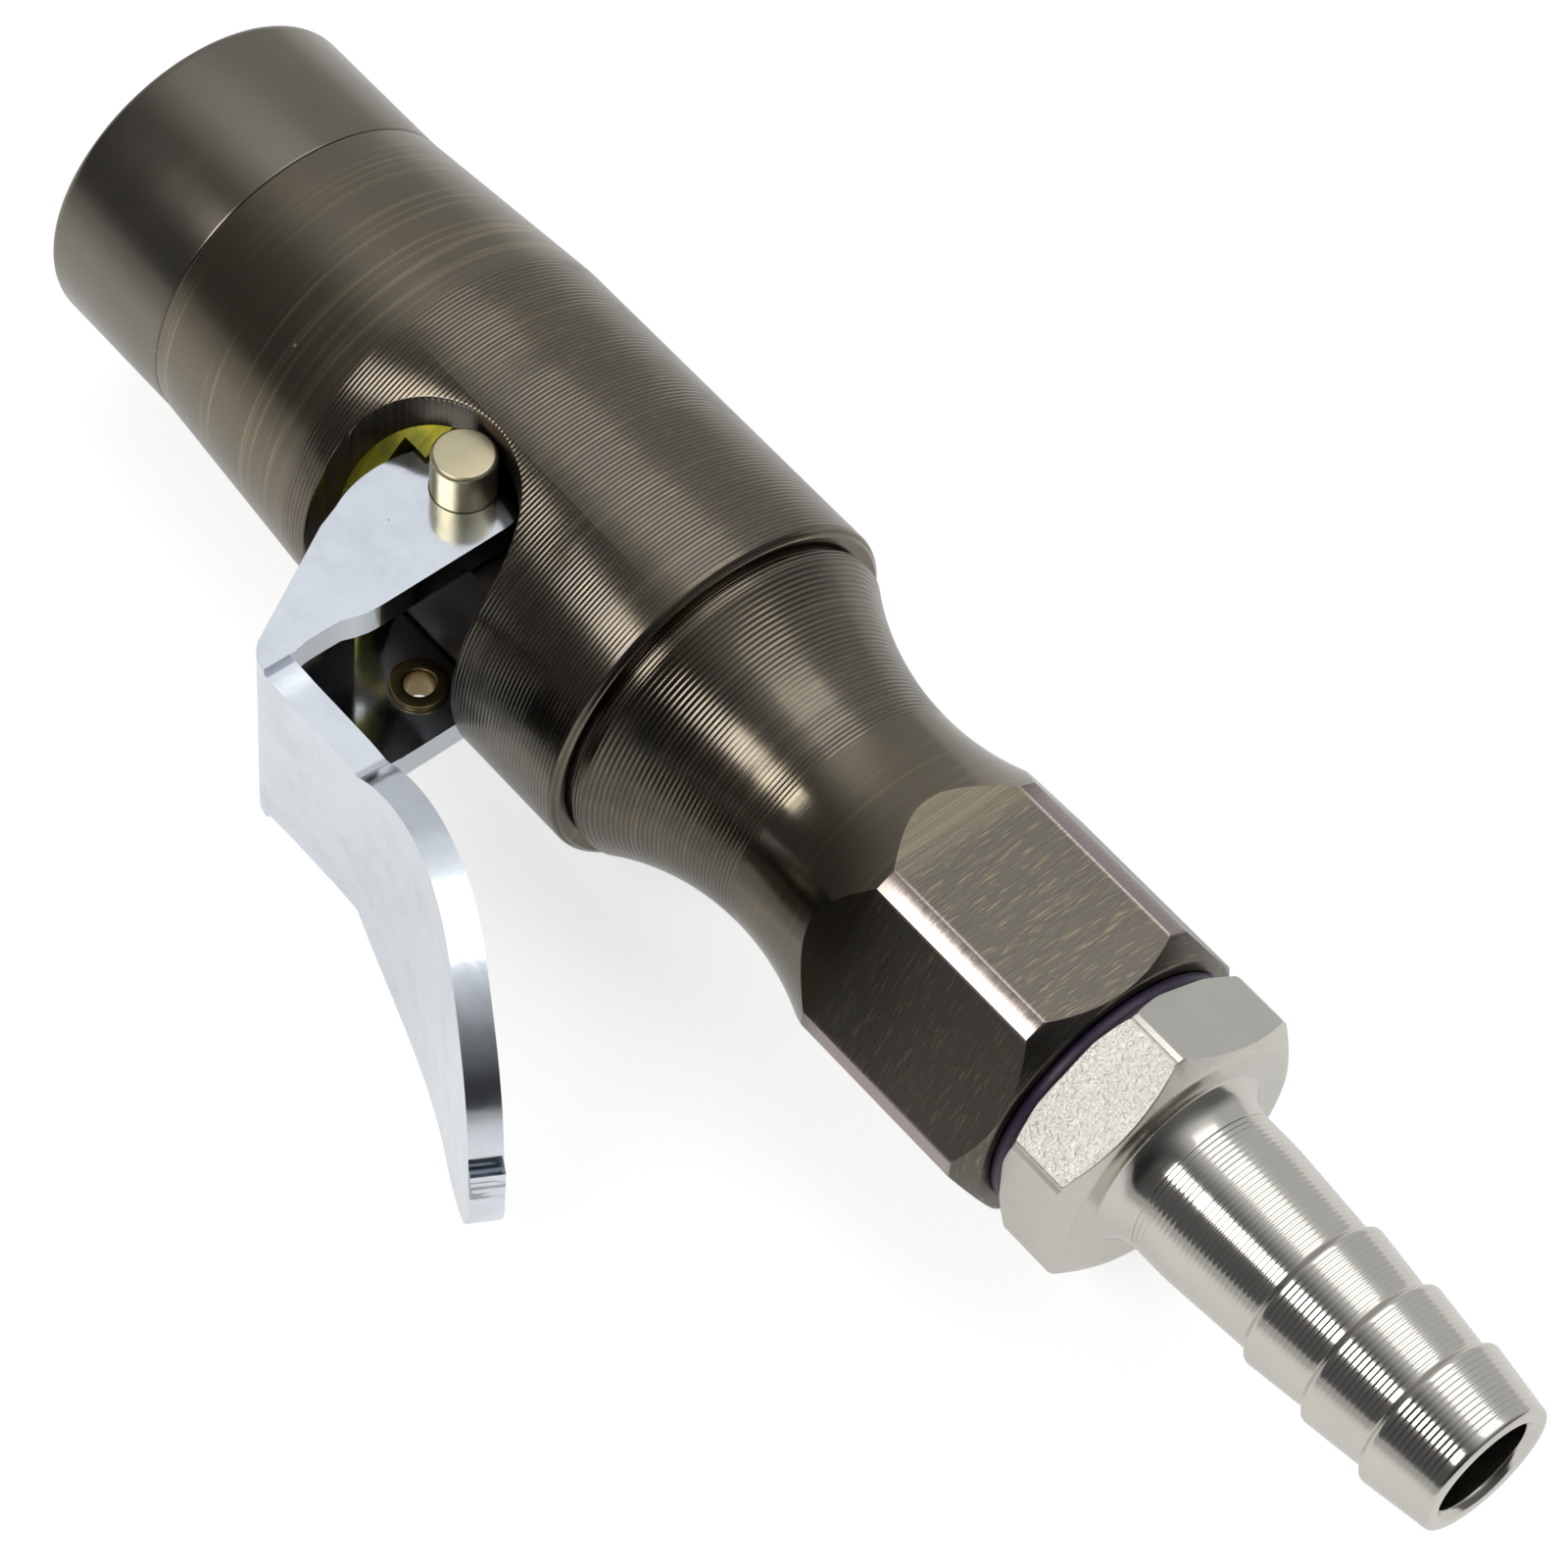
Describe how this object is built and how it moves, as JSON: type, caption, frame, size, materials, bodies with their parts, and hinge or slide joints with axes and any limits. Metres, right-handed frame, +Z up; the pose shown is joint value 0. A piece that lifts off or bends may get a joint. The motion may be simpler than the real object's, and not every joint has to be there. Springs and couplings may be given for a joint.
{
  "type": "lever lock hose nozzle",
  "caption": "Cylindrical lever-lock nozzle: round metal body with waisted neck and hexagon, side lever on a cross pin, clamping jaws and a ribbed hose barb.",
  "frame": {"origin": "centre of the mouth face, on the body axis", "axes": "+X along the body axis from the mouth to the hose barb, +Z along the lever's cross pin, the lever hangs on the -Y side, +Z up"},
  "size_m": [0.1155, 0.0444, 0.025],
  "materials": {
    "body_metal": "dark nickel plated, fine turned rings",
    "cap_metal": "dark nickel plated, smooth semi-gloss",
    "lever_chrome": "bright chromed sheet steel, tumbled edges",
    "pin_brass": "pale yellow passivated, satin",
    "sleeve_zinc": "yellow chromate on zinc",
    "barb_nickel": "nickel plated brass, turned ridges",
    "core_metal": "dark phosphated steel",
    "valve_brass": "plain machined brass",
    "spring_steel": "bright spring wire",
    "jaw_steel": "hardened ground steel",
    "seal_rubber": "matt nitrile rubber",
    "gasket_fibre": "dark violet fibre gasket"
  },
  "bodies": {
    "housing": {"main_body": "body_metal", "front_cap": "cap_metal", "sleeve_spring": "spring_steel", "spring_washer": "spring_steel", "air_tube": "valve_brass", "stem_seal": "seal_rubber", "seal_cup": "valve_brass", "core_block": "core_metal", "core_oring": "seal_rubber", "cross_pin": "pin_brass", "check_seat": "valve_brass", "poppet_spring": "spring_steel", "poppet_guide": "valve_brass", "filter_screen": "valve_brass", "inlet_gasket": "gasket_fibre", "hose_barb": "barb_nickel"},
    "lever": {"lever": "lever_chrome", "lanyard_eyelet": "pin_brass"},
    "sleeve": {"push_sleeve": "sleeve_zinc"},
    "jaw_top": {"jaw_1": "jaw_steel"},
    "jaw_near": {"jaw_2": "jaw_steel"},
    "jaw_far": {"jaw_3": "jaw_steel"},
    "valve_rod": {"depressor_pin": "valve_brass", "check_poppet": "valve_brass", "poppet_oring": "seal_rubber"}
  },
  "joints": [
    {"name": "lever_hinge", "type": "hinge", "parent": "housing", "child": "lever", "pos_m": [0.0338, -0.00595, 0], "axis": [0, 0, 1], "range_deg": [-26, 10]},
    {"name": "sleeve_slide", "type": "slide", "parent": "housing", "child": "sleeve", "axis": [1, 0, 0], "range_m": [-0.00156, 0.0006], "deforming": ["sleeve_spring"]},
    {"name": "jaw_top_slide", "type": "slide", "parent": "sleeve", "child": "jaw_top", "axis": [0, 0, 1], "range_m": [-0.00057, 0.00022]},
    {"name": "jaw_near_slide", "type": "slide", "parent": "sleeve", "child": "jaw_near", "axis": [0, -0.866, -0.5], "range_m": [-0.00057, 0.00022]},
    {"name": "jaw_far_slide", "type": "slide", "parent": "sleeve", "child": "jaw_far", "axis": [0, 0.866, -0.5], "range_m": [-0.00057, 0.00022]},
    {"name": "valve_push", "type": "slide", "parent": "housing", "child": "valve_rod", "axis": [1, 0, 0], "range_m": [0, 0.0015], "stiffness_N_per_m": 400, "springref_m": -0.001, "deforming": ["poppet_spring"]}
  ],
  "couplings": [
    {"joint": "sleeve_slide", "follows": "lever_hinge", "m_per_rad": 0.0034},
    {"joint": "jaw_top_slide", "follows": "lever_hinge", "m_per_rad": 0.001237},
    {"joint": "jaw_near_slide", "follows": "lever_hinge", "m_per_rad": 0.001237},
    {"joint": "jaw_far_slide", "follows": "lever_hinge", "m_per_rad": 0.001237}
  ]
}
